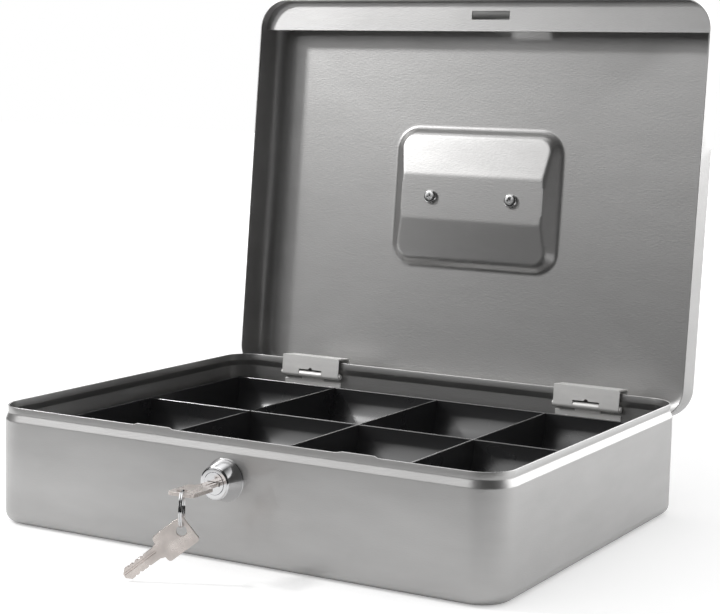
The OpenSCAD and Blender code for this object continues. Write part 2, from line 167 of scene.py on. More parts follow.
def soft_max(a: np.ndarray, b: np.ndarray, blend: float) -> np.ndarray:
    """Larger of two values, rounded where they cross, as soft_min turned over."""
    return -soft_min(-a, -b, blend)


def arc(centre: Sequence[float], radius: float, start: float, end: float, steps: int) -> Points:
    """Points along a circular arc.

    Args:
        centre: The arc's centre.
        radius: Its radius.
        start: Angle of its first point in degrees.
        end: Angle of its last point in degrees.
        steps: Number of steps between them.

    Returns:
        The centre plus the radius times the cosine and sine of evenly spaced angles.
    """
    angle = np.radians(np.linspace(start, end, steps + 1))
    return np.stack([centre[0] + radius * np.cos(angle), centre[1] + radius * np.sin(angle)], 1)


def rounded_square(sides: int, power: float, start: float = 0.0) -> Points:
    """Outline of a rounded square that reaches 1 on each axis.

    Args:
        sides: Number of points.
        power: 2 for a circle, and more for tighter corners.
        start: Angle of the first point in degrees.

    Returns:
        The points where |x|^power + |y|^power = 1, at even angles.
    """
    angle = np.radians(start) + np.linspace(0, 2 * np.pi, sides, endpoint=False)
    unit = np.stack([np.cos(angle), np.sin(angle)], 1)
    return unit / (np.abs(unit) ** power).sum(1, keepdims=True) ** (1 / power)


def grid_faces(rows: int, columns: int, first: int = 0, wrap: bool = False) -> Faces:
    """Quads of a grid of points stored row by row.

    Args:
        rows: Number of rows of points.
        columns: Number of points in a row.
        first: Index of the grid's first point.
        wrap: Whether the last column joins the first.

    Returns:
        An array of quads, four indices each.
    """
    across = columns if wrap else columns - 1
    row, column = np.meshgrid(np.arange(rows - 1), np.arange(across), indexing="ij")
    following = (column + 1) % columns
    corners = [row * columns + column, row * columns + following,
               (row + 1) * columns + following, (row + 1) * columns + column]
    return first + np.stack(corners, -1).reshape(-1, 4)


def signed_volume(points: Points, faces: Faces) -> float:
    """Volume within a closed mesh.

    Args:
        points: Its points.
        faces: Its quads.

    Returns:
        The sum of the tetrahedra between the origin and each quad's two halves, positive where the
        quads face outwards.
    """
    a, b, c, d = (points[faces[:, i]] for i in range(4))
    return float((np.cross(a, b) * c).sum() + (np.cross(a, c) * d).sum()) / 6


def make_object(name: str, points: Points, faces: Faces, sharp_deg: float = 32.0) -> bpy.types.Object:
    """Makes a closed mesh object from points in millimetres.

    Args:
        name: The piece's name.
        points: Its points.
        faces: Its quads, turned outwards here if they face inwards. A quad may repeat a corner.
        sharp_deg: Angle past which an edge shades as a crease.

    Returns:
        The new object, linked to the scene at the origin.
    """
    if signed_volume(points, faces) < 0:
        faces = faces[:, ::-1]
    mesh = bpy.data.meshes.new(name)
    mesh.from_pydata((points * MM).tolist(), [], faces.tolist())
    built = bmesh.new()
    built.from_mesh(mesh)
    bmesh.ops.remove_doubles(built, verts=built.verts, dist=1e-7)
    built.to_mesh(mesh)
    built.free()
    mesh.validate()
    mesh.shade_smooth()
    mesh.set_sharp_from_angle(angle=math.radians(sharp_deg))
    made = bpy.data.objects.new(name, mesh)
    bpy.context.scene.collection.objects.link(made)
    return made


def tube(centres: Points, across: Points, upwards: Points, section: Points,
         widths: Points | float = 1.0) -> tuple[Points, Faces]:
    """Carries a section along a path, with a flat cap on each end.

    Args:
        centres: Points of the path.
        across: At each point, the unit direction of the section's first axis.
        upwards: At each point, the unit direction of its second axis.
        section: The section's points on those two axes.
        widths: What the section is multiplied by at each point.

    Returns:
        The points, each path point plus the section on its own two directions, and the quads.
    """
    count, sides = len(centres), len(section)
    scaled = np.broadcast_to(widths, count)[:, None, None] * section
    rings = centres[:, None] + scaled[..., :1] * across[:, None] + scaled[..., 1:] * upwards[:, None]
    points = np.concatenate([rings.reshape(-1, 3), centres[:1], centres[-1:]])
    step = np.arange(sides)
    after = (step + 1) % sides
    last = (count - 1) * sides
    hub = count * sides
    start_cap = np.stack([np.full(sides, hub), after, step, step], 1)
    end_cap = np.stack([np.full(sides, hub + 1), last + step, last + after, last + after], 1)
    return points, np.concatenate([grid_faces(count, sides, wrap=True), start_cap, end_cap])


def lathe(profile: Points, centre: Points, axis_to: str, steps: int = 96) -> tuple[Points, Faces]:
    """Turns a profile about an axis.

    Args:
        profile: Points of radius and distance along the axis. It closes on itself.
        centre: The axis's zero point.
        axis_to: "Y" for an axis along +Y, "Z" for one along +Z, "X" for one along +X.
        steps: Number of steps round the axis.

    Returns:
        Points at each radius times the cosine and sine of the angle, and the quads.
    """
    angle = np.linspace(0, 2 * np.pi, steps, endpoint=False)
    radius, along = profile[:, 0][:, None], profile[:, 1][:, None]
    first, second = radius * np.cos(angle), radius * np.sin(angle)
    third = np.broadcast_to(along, first.shape)
    order = {"X": (third, first, second), "Y": (second, third, first), "Z": (first, second, third)}[axis_to]
    points = np.stack(order, -1).reshape(-1, 3) + centre
    points = np.concatenate([points, points[:steps]])
    return points, grid_faces(len(profile) + 1, steps, wrap=True)


def softened(frame: Frame, node: str, width: float, sharp_deg: float = 30.0) -> bpy.types.Object:
    """Copies a CAD node's shape, merges its loose triangles and rounds its edges a little.

    Args:
        frame: The loaded frame.
        node: The CAD node to copy.
        width: Width of the rounding.
        sharp_deg: Angle past which an edge is rounded.

    Returns:
        The copy, which stands for the node.
    """
    mesh = frame.nodes[node].data.copy()
    mesh.materials.clear()
    built = bmesh.new()
    built.from_mesh(mesh)
    bmesh.ops.remove_doubles(built, verts=built.verts, dist=2e-6)
    bmesh.ops.dissolve_limit(built, angle_limit=math.radians(0.5), verts=built.verts, edges=built.edges)
    built.to_mesh(mesh)
    built.free()
    mesh.name = f"{node}_softened"
    mesh.shade_smooth()
    made = bpy.data.objects.new(f"{node}_piece", mesh)
    bpy.context.scene.collection.objects.link(made)
    bevel = made.modifiers.new("soft_edges", "BEVEL")
    bevel.width = width * MM
    bevel.segments = 2
    bevel.limit_method = "ANGLE"
    bevel.angle_limit = math.radians(sharp_deg)
    bevel.harden_normals = True
    mesh.set_sharp_from_angle(angle=math.radians(sharp_deg))
    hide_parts(node)
    return made


def dress(piece: bpy.types.Object, material: bpy.types.Material, body: str, slot: str) -> None:
    """Gives a new piece its material and its body, and logs the record's material slot.

    Args:
        piece: The piece, finished and in place.
        material: Its material.
        body: The CAD body that it rides on.
        slot: The record's material slot.
    """
    piece.data.materials.clear()
    piece.data.materials.append(material)
    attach(piece, body)
    LOG.info("%s: %d faces, rides on %s, finish %s", piece.name, len(piece.data.polygons), body, slot)


def paint_node(frame: Frame, node: str, material: bpy.types.Material) -> None:
    """Gives a CAD node that stays in view its material.

    Args:
        frame: The loaded frame.
        node: The CAD node.
        material: Its material.
    """
    data = frame.nodes[node].data
    data.materials.clear()
    data.materials.append(material)
    LOG.info("%s: CAD shape kept, material %s", node, material.name)


# ---- materials -----------------------------------------------------------


class NodeBuilder:
    """Places and links nodes in one node tree."""

    def __init__(self, tree: bpy.types.NodeTree) -> None:
        """Keeps the tree that nodes are added to."""
        self.tree = tree

    def add(self, kind: str, inputs: dict | None = None, **settings: object) -> bpy.types.Node:
        """Adds a node.

        Args:
            kind: Its type name.
            inputs: Values or output sockets by input name or number.
            settings: Attributes to set on the node first.

        Returns:
            The node.
        """
        made = self.tree.nodes.new(kind)
        for name, value in settings.items():
            setattr(made, name, value)
        for name, value in (inputs or {}).items():
            if isinstance(value, bpy.types.NodeSocket):
                self.tree.links.new(value, made.inputs[name])
            else:
                made.inputs[name].default_value = value
        return made

    def maths(self, operation: str, a: object, b: object, clamp: bool = False) -> bpy.types.NodeSocket:
        """Adds a Math node.

        Args:
            operation: Its operation.
            a: First value or socket.
            b: Second value or socket.
            clamp: Whether the result is kept between 0 and 1.

        Returns:
            The node's result.
        """
        return self.add("ShaderNodeMath", {0: a, 1: b}, operation=operation, use_clamp=clamp).outputs[0]


def new_group(name: str, inputs: dict[str, tuple[str, object]], outputs: dict[str, str]
              ) -> tuple[bpy.types.NodeTree, NodeBuilder, bpy.types.Node, bpy.types.Node]:
    """Starts a shader node group.

    Args:
        name: The group's name.
        inputs: Socket type and starting value by input name.
        outputs: Socket type by output name.

    Returns:
        The group, its builder, its input node and its output node.
    """
    group = bpy.data.node_groups.new(name, "ShaderNodeTree")
    for label, (kind, value) in inputs.items():
        socket = group.interface.new_socket(name=label, in_out="INPUT", socket_type=kind)
        socket.default_value = value
    for label, kind in outputs.items():
        group.interface.new_socket(name=label, in_out="OUTPUT", socket_type=kind)
    build = NodeBuilder(group)
    return group, build, build.add("NodeGroupInput"), build.add("NodeGroupOutput")


def drift_group() -> bpy.types.NodeTree:
    """Group that varies a colour and a roughness slowly over a surface.

    Returns:
        A group whose noise, squeezed along Z, lightens or darkens the colour and shifts the roughness.
    """
    group, build, given, out = new_group(
        "finish_drift",
        {"Colour": ("NodeSocketColor", (1, 1, 1, 1)), "Roughness": ("NodeSocketFloat", 0.3),
         "Amount": ("NodeSocketFloat", 0.1), "Scale": ("NodeSocketFloat", 20.0),
         "Stretch": ("NodeSocketFloat", 1.0)},
        {"Colour": "NodeSocketColor", "Roughness": "NodeSocketFloat"})
    place = build.add("ShaderNodeTexCoord")
    stretch = build.add("ShaderNodeCombineXYZ", {0: 1.0, 1: 1.0, 2: given.outputs["Stretch"]})
    spread = build.add("ShaderNodeVectorMath", {0: place.outputs["Object"], 1: stretch.outputs[0]},
                       operation="MULTIPLY")
    noise = build.add("ShaderNodeTexNoise", {"Vector": spread.outputs[0], "Scale": given.outputs["Scale"],
                                             "Detail": 3.0, "Roughness": 0.55})
    swing = build.maths("MULTIPLY", build.maths("SUBTRACT", noise.outputs[0], 0.5), given.outputs["Amount"])
    gain = build.maths("ADD", 1.0, build.maths("MULTIPLY", swing, 2.0))
    tint = build.add("ShaderNodeVectorMath", {0: given.outputs["Colour"], "Scale": gain}, operation="SCALE")
    rough = build.maths("SUBTRACT", given.outputs["Roughness"], swing, clamp=True)
    group.links.new(tint.outputs[0], out.inputs["Colour"])
    group.links.new(rough, out.inputs["Roughness"])
    return group


def grain_group() -> bpy.types.NodeTree:
    """Group that gives the height of a fine surface grain.

    Returns:
        A group whose height adds a coarse ripple and a fine, stretched noise.
    """
    group, build, given, out = new_group(
        "surface_grain",
        {"Ripple Scale": ("NodeSocketFloat", 90.0), "Ripple": ("NodeSocketFloat", 0.5),
         "Fine Scale": ("NodeSocketFloat", 1500.0), "Fine": ("NodeSocketFloat", 0.2),
         "Stretch": ("NodeSocketFloat", 1.0)},
        {"Height": "NodeSocketFloat"})
    place = build.add("ShaderNodeTexCoord")
    stretch = build.add("ShaderNodeCombineXYZ", {0: 1.0, 1: 1.0, 2: given.outputs["Stretch"]})
    spread = build.add("ShaderNodeVectorMath", {0: place.outputs["Object"], 1: stretch.outputs[0]},
                       operation="MULTIPLY")
    ripple = build.add("ShaderNodeTexNoise", {"Vector": place.outputs["Object"],
                                              "Scale": given.outputs["Ripple Scale"], "Detail": 2.0})
    fine = build.add("ShaderNodeTexNoise", {"Vector": spread.outputs[0],
                                            "Scale": given.outputs["Fine Scale"], "Detail": 2.0})
    height = build.maths("ADD", build.maths("MULTIPLY", ripple.outputs[0], given.outputs["Ripple"]),
                         build.maths("MULTIPLY", fine.outputs[0], given.outputs["Fine"]))
    group.links.new(height, out.inputs["Height"])
    return group


def edge_group() -> bpy.types.NodeTree:
    """Group that marks worn, bright edges.

    Returns:
        A group whose mask is high on outward edges, where pointiness is high, broken up by noise.
    """
    group, build, given, out = new_group(
        "edge_wear",
        {"Start": ("NodeSocketFloat", 0.52), "Width": ("NodeSocketFloat", 0.06),
         "Scale": ("NodeSocketFloat", 300.0)},
        {"Mask": "NodeSocketFloat"})
    shape = build.add("ShaderNodeNewGeometry")
    place = build.add("ShaderNodeTexCoord")
    noise = build.add("ShaderNodeTexNoise", {"Vector": place.outputs["Object"],
                                             "Scale": given.outputs["Scale"]})
    above = build.maths("SUBTRACT", shape.outputs["Pointiness"], given.outputs["Start"])
    raised = build.maths("DIVIDE", above, given.outputs["Width"], clamp=True)
    broken = build.maths("MULTIPLY", raised, build.maths("ADD", noise.outputs[0], 0.25), clamp=True)
    group.links.new(broken, out.inputs["Mask"])
    return group


@dataclass(frozen=True)
class Finish:
    """One finish: a glossy base with slow drift, fine grain and a little edge wear."""

    name: str
    colour: Colour
    metallic: float
    roughness: float
    drift: float = 0.06
    drift_scale: float = 14.0
    stretch: float = 1.0
    ripple: float = 0.4
    ripple_scale: float = 90.0
    fine: float = 0.25
    fine_scale: float = 1500.0
    bump: float = 0.05
    coat: float = 0.0
    coat_roughness: float = 0.1
    specular: float = 0.5
    wear: float = 0.0
    wear_colour: Colour = (0.8, 0.8, 0.8)

    def material(self, groups: dict[str, bpy.types.NodeTree]) -> bpy.types.Material:
        """Makes the finish's material.

        Args:
            groups: The shared node groups by name.

        Returns:
            A material whose colour, roughness and bump come from those groups.
        """
        made = bpy.data.materials.new(self.name)
        made.use_nodes = True
        made.node_tree.nodes.clear()
        build = NodeBuilder(made.node_tree)
        drift = build.add("ShaderNodeGroup",
                          {"Colour": (*self.colour, 1.0), "Roughness": self.roughness,
                           "Amount": self.drift, "Scale": self.drift_scale, "Stretch": self.stretch},
                          node_tree=groups["drift"])
        grain = build.add("ShaderNodeGroup",
                          {"Ripple Scale": self.ripple_scale, "Ripple": self.ripple,
                           "Fine Scale": self.fine_scale, "Fine": self.fine, "Stretch": self.stretch},
                          node_tree=groups["grain"])
        bump = build.add("ShaderNodeBump", {"Height": grain.outputs["Height"], "Strength": self.bump,
                                            "Distance": MM})
        colour = drift.outputs["Colour"]
        if self.wear:
            edge = build.add("ShaderNodeGroup", node_tree=groups["edge"])
            worn = build.maths("MULTIPLY", edge.outputs["Mask"], self.wear)
            blend = build.add("ShaderNodeMix", {"Factor": worn, 6: colour, 7: (*self.wear_colour, 1.0)},
                              data_type="RGBA")
            colour = blend.outputs[2]
        shader = build.add("ShaderNodeBsdfPrincipled",
                           {"Base Color": colour, "Metallic": self.metallic,
                            "Roughness": drift.outputs["Roughness"], "Normal": bump.outputs["Normal"],
                            "Coat Weight": self.coat, "Coat Roughness": self.coat_roughness,
                            "Specular IOR Level": self.specular})
        build.add("ShaderNodeOutputMaterial", {"Surface": shader.outputs[0]})
        return made


class Slot(Enum):
    """The record's material slots."""

    PAINT = "silver_paint"
    HINGE = "hinge_steel"
    HANDLE = "handle_chrome"
    LOCK = "lock_chrome"
    ZINC = "lock_zinc"
    BRASS = "wafer_brass"
    KEY = "key_nickel"
    TRAY = "tray_plastic"


FINISHES: dict[Slot, Finish] = {
    Slot.PAINT: Finish("silver_paint", (0.56, 0.555, 0.55), metallic=1.0, roughness=0.43, drift=0.12,
                       drift_scale=16.0, stretch=3.5, ripple=0.35, ripple_scale=60.0, fine=0.6,
                       fine_scale=500.0, bump=0.12, coat=1.0, coat_roughness=0.07, wear=0.4,
                       wear_colour=(0.75, 0.75, 0.75)),
    Slot.HINGE: Finish("hinge_steel", (0.92, 0.91, 0.89), metallic=0.55, roughness=0.45, drift=0.1,
                       drift_scale=60.0, stretch=4.0, fine=0.4, fine_scale=1400.0, bump=0.08, wear=0.4),
    Slot.HANDLE: Finish("bright_chrome_wire", (0.82, 0.82, 0.82), metallic=1.0, roughness=0.1, drift=0.05,
                        drift_scale=40.0, bump=0.02),
    Slot.LOCK: Finish("lock_chrome", (0.8, 0.8, 0.81), metallic=1.0, roughness=0.09, drift=0.04,
                      drift_scale=60.0, ripple=0.6, ripple_scale=160.0, bump=0.03),
    Slot.ZINC: Finish("lock_zinc", (0.6, 0.6, 0.58), metallic=0.95, roughness=0.32, drift=0.12,
                      drift_scale=90.0, fine=0.5, bump=0.08, wear=0.3),
    Slot.BRASS: Finish("wafer_brass", (0.75, 0.55, 0.25), metallic=1.0, roughness=0.3, drift=0.1,
                       drift_scale=150.0, fine=0.4, bump=0.06),
    Slot.KEY: Finish("key_nickel", (0.7, 0.635, 0.6), metallic=0.9, roughness=0.28, drift=0.3,
                     drift_scale=120.0, ripple=0.5, ripple_scale=260.0, fine=0.5, fine_scale=2600.0,
                     bump=0.1, wear=0.4, wear_colour=(0.85, 0.83, 0.8)),
    Slot.TRAY: Finish("tray_plastic", (0.01, 0.01, 0.011), metallic=0.0, roughness=0.28, drift=0.06,
                      drift_scale=25.0, ripple=0.5, ripple_scale=45.0, fine=0.15, bump=0.05, coat=1.0,
                      coat_roughness=0.2, specular=1.0),
}


def all_materials() -> dict[Slot, bpy.types.Material]:
    """Makes every finish's material, with the shared groups made once."""
    groups = {"drift": drift_group(), "grain": grain_group(), "edge": edge_group()}
    return {slot: finish.material(groups) for slot, finish in FINISHES.items()}


# ---- pressed steel shells ------------------------------------------------


@dataclass
class PressedShell:
    """A shell pressed from one sheet, with upright rounded corners and one flat side."""

    half_w: float = 150.0
    half_d: float = 120.0
    corner_r: float = 18.0
    sheet: float = 0.8
    arc_cells: int = 8

    def loop(self, radius: float, across: int, deep: int) -> Points:
        """One turn round the shell at a given radius from the corner centres.

        Args:
            radius: Distance outwards from the corner centres.
            across: Number of cells along the front and the back.
            deep: Number of cells along each end.

        Returns:
            Points that start in the middle of the front right corner and run anticlockwise. Each
            side has half of a corner's arc at each end and even steps between.
        """
        span = np.array([self.half_w - self.corner_r, self.half_d - self.corner_r])
        corner = np.radians(np.linspace(-45, 0, self.arc_cells + 1))
        sides = []
        for turn, cells in enumerate([deep, across, deep, across]):
            out, half = (span[0], span[1]) if turn % 2 == 0 else (span[1], span[0])
            straight = np.linspace(-half, half, cells - 2 * self.arc_cells + 1)
            first = np.stack([out + radius * np.cos(corner), -half + radius * np.sin(corner)], 1)
            middle = np.stack([np.full(len(straight), out + radius), straight], 1)
            last = first[::-1] * [1, -1]
            side = np.concatenate([first, middle[1:], last[1:-1]])
            angle = turn * np.pi / 2
            c, s = round(math.cos(angle)), round(math.sin(angle))
            sides.append(np.stack([side[:, 0] * c - side[:, 1] * s, side[:, 0] * s + side[:, 1] * c], 1))
        return np.concatenate(sides)

    def skin(self, outside: Points, inside: Points, lines: tuple[Points, Points],
             outer_height: Callable, inner_height: Callable) -> tuple[Points, Faces]:
        """Points and quads of the whole shell.

        Args:
            outside: Section outside, from the flat side to the rim, as radius and height.
            inside: Section inside, from the rim back to the flat side.
            lines: Places of the grid lines of the flat side's middle, across and along.
            outer_height: Height of the middle's outer face at x and y.
            inner_height: Height of its inner face.

        Returns:
            The points and quads: two grids for the middle, joined by loops that follow the section.
        """
        xs, ys = lines
        across, deep = len(xs) - 1, len(ys) - 1
        grid_x, grid_y = np.meshgrid(xs, ys, indexing="ij")
        number = np.arange(grid_x.size).reshape(grid_x.shape)
        edge = np.concatenate([number[-1, :-1], number[:0:-1, -1], number[0, :0:-1], number[:-1, 0]])
        outer = np.stack([grid_x, grid_y, outer_height(grid_x, grid_y)], -1).reshape(-1, 3)
        inner = np.stack([grid_x, grid_y, inner_height(grid_x, grid_y)], -1).reshape(-1, 3)
        section = np.concatenate([outside, inside])
        rings = [np.column_stack([self.loop(r, across, deep), np.full(2 * (across + deep), z)])
                 for r, z in section]
        rings = self.shaped_rings(np.stack(rings))
        count = rings.shape[1]
        points = np.concatenate([outer, inner, rings.reshape(-1, 3)])
        first_ring = 2 * len(outer)
        walls = grid_faces(len(section), count, first_ring, wrap=True)
        step = np.arange(count)
        after = (step + 1) % count
        last_ring = first_ring + (len(section) - 1) * count
        join_outer = np.stack([edge[step], edge[after], first_ring + after, first_ring + step], 1)
        join_inner = np.stack([last_ring + step, last_ring + after, len(outer) + edge[after],
                               len(outer) + edge[step]], 1)
        patch = grid_faces(*grid_x.shape)
        return points, np.concatenate([patch, patch[:, ::-1] + len(outer), walls, join_outer, join_inner])

    def shaped_rings(self, rings: Points) -> Points:
        """Last change to the loops before they become a mesh. None here."""
        return rings


@dataclass
class BaseShell(PressedShell):
    """The base: a pan whose wall steps in below a plain rim."""

    floor_bend: float = 6.0
    ledge_z: float = 56.0
    ledge_h: float = 3.6
    crease: float = 0.35
    ledge_in: float = 1.4
    rim_z: float = 63.5
    stop_h: float = 0.8
    stop_ramp: float = 0.8
    stops: tuple[Pair, Pair] = ((-55.7, -34.6), (63.1, 84.3))
    grid: tuple[int, int] = (150, 60)

    def section(self) -> tuple[Points, Points]:
        """Section of the wall.

        Returns:
            The outside and the inside: a quarter bend, a straight, a slope with softened creases
            and the rim.
        """
        height = self.ledge_z + np.linspace(-2 * self.crease, self.ledge_h + 2 * self.crease, 33)
        share = (height - self.ledge_z) / self.ledge_h
        soft_share = self.crease / self.ledge_h
        step = self.ledge_in * soft_min(soft_max(share, 0 * share, soft_share), 1 + 0 * share, soft_share)
        bend = (self.corner_r - self.floor_bend, self.floor_bend)
        rim_r = self.corner_r - self.ledge_in
        soft = self.sheet * 0.35
        rim_out = arc((rim_r - soft, self.rim_z - soft), soft, 0, 90, 3)
        rim_in = arc((rim_r - self.sheet + soft, self.rim_z - soft), soft, 90, 180, 3)
        outside = np.concatenate([arc(bend, self.floor_bend, -90, 0, 10),
                                  np.column_stack([self.corner_r - step, height]), rim_out])
        inside = np.concatenate([rim_in,
                                 np.column_stack([self.corner_r - self.sheet - step, height])[::-1],
                                 arc(bend, self.floor_bend - self.sheet, 0, -90, 10)])
        return outside, inside

    def shaped_rings(self, rings: Points) -> Points:
        """Raises the two low stops on the front rim.

        Args:
            rings: The shell's loops, one row each.

        Returns:
            The loops, with the rim lifted by stop_h between each stop's ends over a short ramp.
        """
        x, y, z = rings[..., 0], rings[..., 1], rings[..., 2]
        on_rim = (z > self.rim_z - self.sheet) & (y < -self.half_d + self.corner_r)
        for low, high in self.stops:
            rise = ease((x - low) / self.stop_ramp + 0.5) * ease((high - x) / self.stop_ramp + 0.5)
            z = np.where(on_rim, z + self.stop_h * rise, z)
        return np.stack([x, y, z], -1)

    def build(self) -> bpy.types.Object:
        """Makes the base's mesh.

        Returns:
            The base, whose flat side is its floor.
        """
        outside, inside = self.section()
        lines = (np.linspace(-self.half_w * 0.85, self.half_w * 0.85, self.grid[0] + 1),
                 np.linspace(-self.half_d * 0.8, self.half_d * 0.8, self.grid[1] + 1))
        points, faces = self.skin(outside, inside, lines,
                                  lambda x, y: 0 * x, lambda x, y: 0 * x + self.sheet)
        return make_object("base_shell_piece", points, faces)


@dataclass
class LidShell(PressedShell):
    """The lid: a tray-shaped pressing with a recess for the handle in its top."""

    edge_z: float = 58.3
    top_z: float = 83.0
    bend: float = 9.0
    dish_half: Pair = (56.0, 43.0)
    dish_r: float = 14.0
    dish_deep: float = 8.0
    fold_y: float = 14.0
    step_y: float = 39.0
    step_deep: float = 4.0
    side_soft: float = 1.2
    fold_soft: float = 0.12
    lip_soft: float = 1.0
    margin: float = 4.0
    grid: tuple[int, int] = (120, 94)

    def section(self) -> tuple[Points, Points]:
        """Section of the side.

        Returns:
            The outside and the inside: a quarter bend and a straight skirt with a soft free edge.
        """
        bend = (self.corner_r - self.bend, self.top_z - self.bend)
        soft = self.sheet * 0.35
        edge_out = arc((self.corner_r - soft, self.edge_z + soft), soft, 0, -90, 3)
        edge_in = arc((self.corner_r - self.sheet + soft, self.edge_z + soft), soft, -90, -180, 3)
        outside = np.concatenate([arc(bend, self.bend, 90, 0, 14), edge_out])
        inside = np.concatenate([edge_in, arc(bend, self.bend - self.sheet, 0, 90, 14)])
        return outside, inside

    def dish(self, x: Points, y: Points, grow: float) -> Points:
        """Depth of the recess below the top.

        Args:
            x: Places across.
            y: Places along.
            grow: How far this face lies outside the recess's own face.

        Returns:
            The least of three depths, rounded where they meet: the distance in from the rounded
            outline, a gentle slope towards the middle, and the flat middle's own depth.
        """
        half = np.array(self.dish_half) + grow
        radius = self.dish_r + grow
        deepest = np.full_like(x, self.dish_deep + grow)
        away = np.stack([np.abs(x) - half[0] + radius, np.abs(y) - half[1] + radius])
        inside = radius - np.hypot(*np.maximum(away, 0)) - np.minimum(away.max(0), 0)
        slope = (self.dish_deep - self.step_deep) / (self.step_y - self.fold_y)
        gentle = self.step_deep + grow + slope * (self.step_y - np.abs(y))
        deep = soft_min(soft_min(inside, gentle, self.side_soft), deepest, self.fold_soft)
        return soft_max(deep - grow, np.zeros_like(x), self.lip_soft)

    def build(self, frame: Frame) -> bpy.types.Object:
        """Makes the lid's mesh.

        Args:
            frame: The loaded frame, whose lid hinge swings the lid open.

        Returns:
            The lid, with the recess pressed into the flat middle of its top.
        """
        outside, inside = self.section()
        reach = np.array(self.dish_half) + self.margin
        lines = (np.linspace(-reach[0], reach[0], self.grid[0] + 1),
                 np.linspace(-reach[1], reach[1], self.grid[1] + 1))
        points, faces = self.skin(
            outside, inside, lines,
            lambda x, y: self.top_z - self.dish(x, y, 0.0),
            lambda x, y: self.top_z - self.sheet - self.dish(x, y, self.sheet))
        return make_object("lid_shell_piece", frame.lid_opened(points), faces, 40.0)


# ---- coin tray -----------------------------------------------------------


